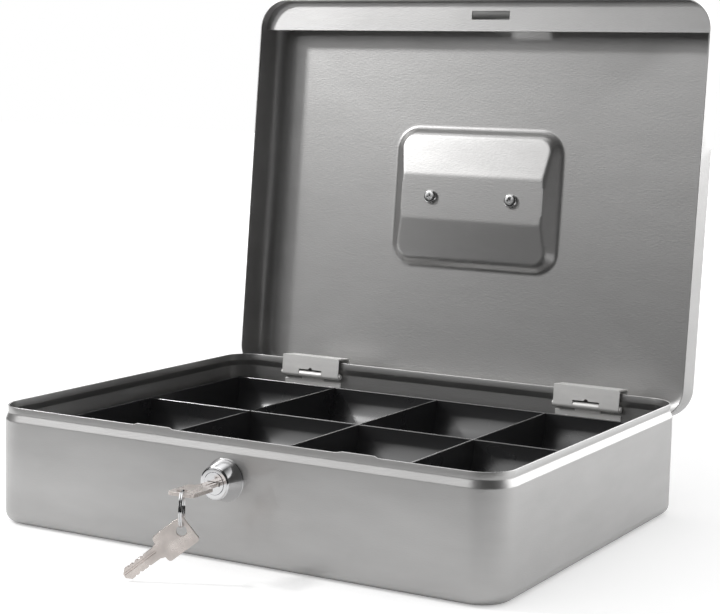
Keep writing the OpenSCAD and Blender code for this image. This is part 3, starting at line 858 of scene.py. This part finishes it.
@dataclass
class CoinTray:
    """Moulded tray of eight cells in two rows, each with a scooped back."""

    low: Points
    high: Points
    wall: float = 1.0
    floor_z: float = 17.5
    columns: int = 4
    scoop_r: float = 29.0
    front_r: float = 10.0
    fillet: float = 2.0
    draft: float = 0.35
    rim_drop: float = 0.3
    rim_soft: float = 0.2
    rim_lines: tuple[float, ...] = (-0.18, -0.05, 0.0)
    fillet_lines: tuple[float, ...] = (0.0, 0.25, 0.7, 1.3, 2.0)
    leg_x: float = 128.0
    leg_y: Pair = (-68.0, 62.0)
    leg_half: float = 4.4
    leg_soft: float = 0.4

    def wall_places(self) -> tuple[Points, Points]:
        """Middles of the upright walls across, and of those along."""
        half = self.wall / 2
        return (np.linspace(self.low[0] + half, self.high[0] - half, self.columns + 1),
                np.linspace(self.low[1] + half, self.high[1] - half, 3))

    def lines(self, places: Points, extra: Points) -> Points:
        """Grid lines across the tray.

        Args:
            places: Middles of the upright walls.
            extra: Even lines, kept where no wall is near.

        Returns:
            The lines in order: close ones beside each wall, where the surface turns, and the kept ones.
        """
        half = self.wall / 2
        near = half + np.concatenate([self.rim_lines, self.draft + np.array(self.fillet_lines)])
        close = (places[:, None] + np.concatenate([-near[::-1], near])).ravel()
        kept = extra[np.abs(extra[:, None] - places).min(1) > near[-1] + 0.3]
        every = np.concatenate([close, kept]).clip(places[0] - half, places[-1] + half)
        return np.unique(every.round(4))

    def wall_height(self, gap: Points, top: float) -> Points:
        """Height of a wall's own face.

        Args:
            gap: Distance from the middle of the nearest wall.
            top: Height of the wall's rim.

        Returns:
            The rim's height on the wall, a steep drafted face beside it, then a round fillet that
            runs out on the floor.
        """
        half = self.wall / 2
        crown = top - self.rim_drop * ease((gap - half + self.rim_soft) / self.rim_soft)
        face_low = self.floor_z + self.fillet
        face = crown + (face_low - crown) * np.clip((gap - half) / self.draft, 0, 1)
        along = np.clip((gap - half - self.draft) / self.fillet, 0, 1)
        round_off = self.floor_z + self.fillet * (1 - np.sqrt(1 - (1 - along) ** 2))
        return np.where(gap > half + self.draft, round_off, face)

    def row_height(self, y: Points) -> Points:
        """Height of the scooped floor of a row: two arcs of a circle on a flat.

        Args:
            y: Places along.

        Returns:
            The height above which the row is open, before its upright walls are added.
        """
        _, walls = self.wall_places()
        half = self.wall / 2
        height = np.full_like(y, self.floor_z)
        for front, back in zip(walls[:-1] + half, walls[1:] - half):
            within = (y > front) & (y < back)
            scoop = np.clip((y - (back - self.scoop_r)) / self.scoop_r, 0, 1)
            rise = self.scoop_r * (1 - np.sqrt(1 - scoop ** 2))
            toe = np.clip((front + self.front_r - y) / self.front_r, 0, 1)
            lift = self.front_r * (1 - np.sqrt(1 - toe ** 2))
            height = np.where(within, self.floor_z + np.maximum(rise, lift), height)
        return height

    def build(self) -> bpy.types.Object:
        """Makes the tray without its legs.

        Returns:
            The tray: an upper face, which is the highest of walls and scoops at each place, a lower
            face a wall's thickness below it, and a side between the two.
        """
        across, along = self.wall_places()
        xs = self.lines(across, np.linspace(self.low[0], self.high[0], 41))
        ys = self.lines(along, np.linspace(self.low[1], self.high[1], 97))
        grid_x, grid_y = np.meshgrid(xs, ys, indexing="ij")
        top = self.high[2]
        gap_x = np.abs(grid_x[..., None] - across).min(-1)
        gap_y = np.abs(grid_y[..., None] - along).min(-1)
        row = self.row_height(grid_y)
        upper = np.maximum(np.maximum(self.wall_height(gap_x, top), self.wall_height(gap_y, top)), row)
        outer_wall = np.minimum(grid_x - xs[0], xs[-1] - grid_x)
        outer_wall = np.minimum(outer_wall, np.minimum(grid_y - ys[0], ys[-1] - grid_y))
        lower = np.where(outer_wall < self.wall, self.floor_z - self.wall, row - self.wall)
        lower = np.minimum(lower, upper - self.wall * 0.8)
        shape = grid_x.shape
        above = np.stack([grid_x, grid_y, upper], -1).reshape(-1, 3)
        below = np.stack([grid_x, grid_y, lower], -1).reshape(-1, 3)
        number = np.arange(grid_x.size).reshape(shape)
        edge = np.concatenate([number[-1, :-1], number[:0:-1, -1], number[0, :0:-1], number[:-1, 0]])
        after = np.roll(edge, -1)
        side = np.stack([edge, edge + len(above), after + len(above), after], 1)
        patch = grid_faces(*shape)
        faces = np.concatenate([patch, patch[:, ::-1] + len(above), side])
        return make_object("coin_tray_piece", np.concatenate([above, below]), faces, 38.0)

    def legs(self) -> list[bpy.types.Object]:
        """Makes the four legs.

        Returns:
            The legs, each a rounded square carried up from a softened foot and widening as it goes.
        """
        made = []
        heights = [self.low[2], self.low[2] + self.leg_soft, self.floor_z - self.wall / 2]
        widths = self.leg_half - self.leg_soft * np.array([2, 1, 0])
        across, upwards = (np.broadcast_to(np.eye(3)[axis], (len(heights), 3)) for axis in (0, 1))
        for x in (-self.leg_x, self.leg_x):
            for y in self.leg_y:
                centres = np.array([[x, y, height] for height in heights])
                points, faces = tube(centres, across, upwards, rounded_square(24, 6, 7.5), widths)
                made.append(make_object(f"tray_leg_{len(made) + 1}", points, faces))
        return made


# ---- handle, lock and keys -----------------------------------------------


@dataclass
class Bail:
    """Wire handle, drawn flat on the shut lid and tipped by its resting angle."""

    wire_r: float = 2.25
    end_x: float = 31.5
    arm_x: float = 42.0
    reach: float = 25.0
    heel_r: float = 5.0
    bend_r: float = 8.0
    axis_z: float = 79.5
    tip_deg: float = 5.0
    sides: int = 28

    def path(self) -> Points:
        """Path of the wire on the lid.

        Returns:
            An end, a round heel, an arm, a round bend and half the grip, then the same mirrored.
        """
        heel = arc((self.arm_x - self.heel_r, self.heel_r), self.heel_r, -90, 0, 10)
        bend = arc((self.arm_x - self.bend_r, self.reach - self.bend_r), self.bend_r, 0, 90, 12)
        half = np.concatenate([[[self.end_x, 0.0]], heel, bend])
        return np.concatenate([half, half[::-1] * [-1, 1]])

    def build(self, frame: Frame) -> bpy.types.Object:
        """Makes the bail's mesh where it rests.

        Args:
            frame: The loaded frame, whose lid hinge swings the bail open with the lid.

        Returns:
            The bail: a circle carried along the path on the path's own normal and the lid's.
        """
        flat = self.path()
        centres = np.column_stack([flat, np.zeros(len(flat))])
        along = np.gradient(centres, axis=0)
        along /= np.linalg.norm(along, axis=1, keepdims=True)
        up = np.broadcast_to([0.0, 0.0, 1.0], centres.shape)
        points, faces = tube(centres, np.cross(along, up), up, rounded_square(self.sides, 2), self.wire_r)
        points = turned(points, "X", math.radians(self.tip_deg)) + [0, 0, self.axis_z]
        piece = make_object("handle_bail_piece", frame.lid_opened(points), faces)
        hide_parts("handle_bail")
        return piece


@dataclass
class LockHousing:
    """Turned bezel and barrel of the lock, with soft rims."""

    front_y: float
    back_y: float
    wall_y: float = -120.0
    bore_r: float = 5.55
    barrel_r: float = 8.0
    bezel_r: float = 11.0
    nose_r: float = 8.5
    nose_round: float = 1.2
    rim: float = 0.8
    rim_soft: float = 0.25
    bore_chamfer: float = 0.3

    def build(self, centre: Points) -> bpy.types.Object:
        """Turns the housing's profile about its axis.

        Args:
            centre: A point on the lock's axis.

        Returns:
            The housing: its bore, end, barrel, flat seat, rim, taper and rounded nose.
        """
        nose = arc((self.nose_r - self.nose_round, self.front_y + self.nose_round),
                   self.nose_round, -20, -90, 8)
        rim = arc((self.bezel_r - self.rim_soft, self.wall_y - self.rim + self.rim_soft),
                  self.rim_soft, 0, -70, 4)
        inner = [[self.bore_r, self.front_y + self.bore_chamfer], [self.bore_r, self.back_y],
                 [self.barrel_r, self.back_y], [self.barrel_r, self.wall_y], [self.bezel_r, self.wall_y]]
        profile = np.concatenate([inner, rim, nose, [[self.bore_r + self.bore_chamfer, self.front_y]]])
        points, faces = lathe(profile, np.array([centre[0], 0, centre[2]]), "Y", 128)
        piece = make_object("lock_housing_piece", points, faces, 24.0)
        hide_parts("lock_housing")
        return piece


@dataclass
class SplitRing:
    """Key ring wound from flat-sided wire in two coils that lie side by side."""

    coil_r: float = 8.75
    wire_r: float = 0.44
    offset: float = 0.45
    cross: float = 0.3
    steps: int = 360

    def build(self, centre: Points, axis: Points) -> bpy.types.Object:
        """Makes the ring's mesh.

        Args:
            centre: The ring's centre.
            axis: Its axis.

        Returns:
            The ring: a rounded square carried round nearly two turns, its place along the axis
            easing from one coil to the other where the ends leave room.
        """
        turn = np.linspace(self.cross, 4 * np.pi - self.cross, self.steps)
        share = ease((turn - 2 * np.pi) / (2 * self.cross) + 0.5)
        up = np.array([0.0, 0.0, 1.0])
        side = np.cross(axis, up)
        outward = np.cos(turn)[:, None] * up + np.sin(turn)[:, None] * side
        shift = self.offset * (2 * share - 1)
        centres = centre + self.coil_r * outward + shift[:, None] * axis
        sideways = np.broadcast_to(axis, outward.shape)
        points, faces = tube(centres, outward, sideways, rounded_square(16, 4), self.wire_r)
        piece = make_object("key_ring_piece", points, faces, 40.0)
        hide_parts("key_ring")
        return piece


# ---- the object ----------------------------------------------------------


# Finish of each small part whose shape comes from its CAD node, and the width of its edges' rounding.
SMALL_PARTS: dict[str, tuple[Slot, float]] = {
    "base_hinge_leaf_left": (Slot.HINGE, 0.15),
    "base_hinge_leaf_right": (Slot.HINGE, 0.15),
    "hinge_pin_left": (Slot.HINGE, 0.2),
    "hinge_pin_right": (Slot.HINGE, 0.2),
    "base_hinge_rivets": (Slot.HINGE, 0.35),
    "lid_catch_flange": (Slot.PAINT, 0.2),
    "lid_hinge_leaf_left": (Slot.HINGE, 0.15),
    "lid_hinge_leaf_right": (Slot.HINGE, 0.15),
    "lid_hinge_rivets": (Slot.HINGE, 0.35),
    "handle_bracket_left": (Slot.HANDLE, 0.6),
    "handle_bracket_right": (Slot.HANDLE, 0.6),
    "handle_screws": (Slot.HANDLE, 0.15),
    "lock_nut": (Slot.ZINC, 0.3),
    "lock_plug": (Slot.LOCK, 0.12),
    "lock_cam": (Slot.ZINC, 0.2),
    "cam_screw": (Slot.ZINC, 0.3),
    "key_in_lock": (Slot.KEY, 0.22),
    "spare_key": (Slot.KEY, 0.22),
}


@dataclass
class CashBox:
    """The whole box: makes each piece, dresses it and lets it ride on its body."""

    frame: Frame
    looks: dict[Slot, bpy.types.Material]

    def body_of(self, node: str) -> str:
        """Name of the body that a CAD node belongs to."""
        return self.frame.nodes[node]["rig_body"]

    def finish(self, piece: bpy.types.Object, slot: Slot, body: str) -> None:
        """Dresses a piece.

        Args:
            piece: The piece.
            slot: The record's slot, which names its finish.
            body: The body that it rides on.
        """
        dress(piece, self.looks[slot], body, slot.value)

    def build_shells(self) -> None:
        """Makes the base and the lid."""
        base = BaseShell().build()
        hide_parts("base_shell")
        self.finish(base, Slot.PAINT, "case")
        lid = LidShell().build(self.frame)
        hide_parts("lid_shell")
        self.finish(lid, Slot.PAINT, "lid")

    def build_small_parts(self) -> None:
        """Makes the stamped, turned and cast small parts from their CAD shapes."""
        for node, (slot, width) in SMALL_PARTS.items():
            self.finish(softened(self.frame, node, width), slot, self.body_of(node))
        paint_node(self.frame, "lock_wafers", self.looks[Slot.BRASS])

    def build_turned_parts(self) -> None:
        """Makes the bail, the lock's housing and the key ring."""
        self.finish(Bail().build(self.frame), Slot.HANDLE, "bail")
        housing = LockHousing(self.frame.low("lock_housing")[1], self.frame.high("lock_housing")[1])
        self.finish(housing.build(self.frame.pivot("plug_turn")), Slot.LOCK, "case")
        ring = SplitRing().build(self.frame.pivot("ring_swing"), self.frame.axis("ring_swing"))
        self.finish(ring, Slot.LOCK, "ring")

    def build_tray(self) -> None:
        """Makes the coin tray and its legs."""
        tray = CoinTray(self.frame.low("coin_tray"), self.frame.high("coin_tray"))
        cells = tray.build()
        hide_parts("coin_tray")
        for piece in (cells, *tray.legs()):
            self.finish(piece, Slot.TRAY, "tray")

    def build(self) -> None:
        """Makes every piece."""
        self.build_shells()
        self.build_small_parts()
        self.build_turned_parts()
        self.build_tray()


# ---- studio --------------------------------------------------------------


@dataclass(frozen=True)
class Softbox:
    """One area lamp, aimed at a point."""

    name: str
    place: Place
    aim: Place
    size: float
    watts: float

    def light(self) -> None:
        """Puts the lamp in the scene."""
        data = bpy.data.lights.new(self.name, "AREA")
        data.shape = "DISK"
        data.size = self.size * MM
        data.energy = self.watts
        lamp = bpy.data.objects.new(self.name, data)
        lamp.location = Vector(self.place) * MM
        towards = Vector(self.aim) - Vector(self.place)
        lamp.rotation_euler = towards.to_track_quat("-Z", "Y").to_euler()
        bpy.context.scene.collection.objects.link(lamp)


@dataclass(frozen=True)
class WhitePanel:
    """One soft white area of the surroundings, as bright metal and gloss see it."""

    side: Place
    edges: Pair
    strength: float

    def glow(self, build: NodeBuilder, place: bpy.types.NodeSocket) -> bpy.types.NodeSocket:
        """Adds the panel's nodes to the world.

        Args:
            build: The world's node builder.
            place: The direction looked in.

        Returns:
            The panel's brightness, which rises smoothly as the direction nears the panel's own.
        """
        length = math.sqrt(sum(part * part for part in self.side))
        facing = build.add("ShaderNodeVectorMath", {0: place, 1: [part / length for part in self.side]},
                           operation="DOT_PRODUCT")
        return build.add("ShaderNodeMapRange",
                         {"Value": facing.outputs["Value"], "From Min": self.edges[0],
                          "From Max": self.edges[1], "To Min": 0.0, "To Max": self.strength},
                         interpolation_type="SMOOTHSTEP").outputs[0]


@dataclass
class Studio:
    """Pale floor, one lamp, white panels in dark surroundings, and the camera."""

    azimuth: float = 29.413
    elevation: float = 7.173
    roll: float = 1.286
    distance: float = 972.956
    target: Place = (6.48, 0.0, 117.1)
    lens: float = 89.303
    sensor: float = 36.0
    clip_m: Pair = (0.05, 50.0)
    world_light: float = 0.9
    room: float = 0.03
    panels: tuple[WhitePanel, ...] = (
        WhitePanel((0.4, 0.92, 0.0), (0.35, 0.85), 2.25),
        WhitePanel((-0.35, 0.0, 0.94), (0.76, 0.97), 1.4),
        WhitePanel((-0.5, -0.75, 0.43), (0.9, 0.995), 1.25),
    )
    floor_pale: float = 0.8
    floor_lift: float = 0.35
    floor_half_m: float = 6.0
    floor_drop_m: float = 0.0003
    white_from_to_m: Pair = (0.5, 1.4)
    dark_from_to_m: Pair = (0.25, 0.5)
    lamp: Softbox = Softbox("key_left", (-689, -422, 664), (0, 80, 150), 100, 3.3)

    def camera(self) -> None:
        """Places the camera by its compass angle, height angle, roll and distance from a point."""
        az, el, roll = (math.radians(a) for a in (self.azimuth, self.elevation, self.roll))
        ahead = Vector((-math.sin(az) * math.cos(el), math.cos(az) * math.cos(el), -math.sin(el)))
        right = ahead.cross(Vector((0, 0, 1))).normalized()
        up = right.cross(ahead)
        turned_right = math.cos(roll) * right + math.sin(roll) * up
        turned_up = -math.sin(roll) * right + math.cos(roll) * up
        data = bpy.data.cameras.new("camera")
        data.lens = self.lens
        data.sensor_width = self.sensor
        data.clip_start, data.clip_end = self.clip_m
        camera = bpy.data.objects.new("camera", data)
        axes = Matrix((turned_right, turned_up, -ahead)).transposed()
        place = (Vector(self.target) - self.distance * ahead) * MM
        camera.matrix_world = Matrix.Translation(place) @ axes.to_4x4()
        bpy.context.scene.collection.objects.link(camera)
        bpy.context.scene.camera = camera

    def world(self) -> None:
        """Makes the world: white to the eye, dark with white panels in reflections, and even as light."""
        world = bpy.data.worlds.new("studio")
        world.use_nodes = True
        world.node_tree.nodes.clear()
        build = NodeBuilder(world.node_tree)
        path = build.add("ShaderNodeLightPath")
        seen = build.maths("MAXIMUM", path.outputs["Is Camera Ray"], path.outputs["Is Transmission Ray"])
        place = build.add("ShaderNodeTexCoord")
        glossy = path.outputs["Is Glossy Ray"]
        shine: bpy.types.NodeSocket | float = self.room
        for panel in self.panels:
            shine = build.maths("ADD", shine, panel.glow(build, place.outputs["Generated"]))
        mirrored = build.maths("MULTIPLY", shine, glossy)
        lit = build.maths("MULTIPLY", build.maths("SUBTRACT", 1.0, glossy), self.world_light)
        strength = build.maths("MAXIMUM", seen, build.maths("ADD", mirrored, lit))
        shade = build.add("ShaderNodeBackground", {"Color": (1, 1, 1, 1), "Strength": strength})
        build.add("ShaderNodeOutputWorld", {"Surface": shade.outputs[0]})
        bpy.context.scene.world = world

    def floor_material(self) -> bpy.types.Material:
        """Makes the floor's material.

        Returns:
            A pale material. To the eye it glows towards white with distance, so that it keeps its
            shadows and has no horizon. In reflections it turns dark in front of the box, as the room is.
        """
        material = bpy.data.materials.new("floor_white")
        material.use_nodes = True
        material.node_tree.nodes.clear()
        build = NodeBuilder(material.node_tree)
        path = build.add("ShaderNodeLightPath")
        place = build.add("ShaderNodeTexCoord")
        away = build.add("ShaderNodeVectorMath", {0: place.outputs["Object"]}, operation="LENGTH")
        far = build.add("ShaderNodeMapRange",
                        {"Value": away.outputs["Value"], "From Min": self.white_from_to_m[0],
                         "From Max": self.white_from_to_m[1], "To Min": self.floor_lift, "To Max": 1.0},
                        interpolation_type="SMOOTHSTEP")
        ahead = build.add("ShaderNodeVectorMath", {0: place.outputs["Object"], 1: (0.0, -1.0, 0.0)},
                          operation="DOT_PRODUCT")
        dark = build.add("ShaderNodeMapRange",
                         {"Value": ahead.outputs["Value"], "From Min": self.dark_from_to_m[0],
                          "From Max": self.dark_from_to_m[1]}, interpolation_type="SMOOTHSTEP")
        lost = build.maths("MULTIPLY", dark.outputs[0], path.outputs["Is Glossy Ray"])
        pale = build.maths("MULTIPLY", build.maths("SUBTRACT", 1.0, lost), self.floor_pale)
        lift = build.maths("MULTIPLY", path.outputs["Is Camera Ray"], far.outputs[0])
        diffuse = build.add("ShaderNodeBsdfDiffuse", {"Color": pale})
        glow = build.add("ShaderNodeEmission", {"Color": (1, 1, 1, 1), "Strength": lift})
        both = build.add("ShaderNodeAddShader", {0: diffuse.outputs[0], 1: glow.outputs[0]})
        build.add("ShaderNodeOutputMaterial", {"Surface": both.outputs[0]})
        return material

    def floor(self) -> None:
        """Makes the floor, one large square just under the box."""
        half = self.floor_half_m
        mesh = bpy.data.meshes.new("floor")
        mesh.from_pydata([(-half, -half, 0), (half, -half, 0), (half, half, 0), (-half, half, 0)], [],
                         [(0, 1, 2, 3)])
        mesh.materials.append(self.floor_material())
        floor = bpy.data.objects.new("floor", mesh)
        floor.location.z = -self.floor_drop_m
        bpy.context.scene.collection.objects.link(floor)

    def build(self) -> None:
        """Sets the whole studio up."""
        self.camera()
        self.world()
        self.floor()
        self.lamp.light()
        bpy.context.scene.view_settings.view_transform = "Standard"


def main() -> None:
    """Builds the box round its CAD frame, then the studio."""
    logging.basicConfig(level=logging.INFO, format="%(name)s: %(message)s")
    frame = Frame.load()
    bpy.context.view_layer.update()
    CashBox(frame, all_materials()).build()
    Studio().build()


if __name__ == "__main__":
    main()
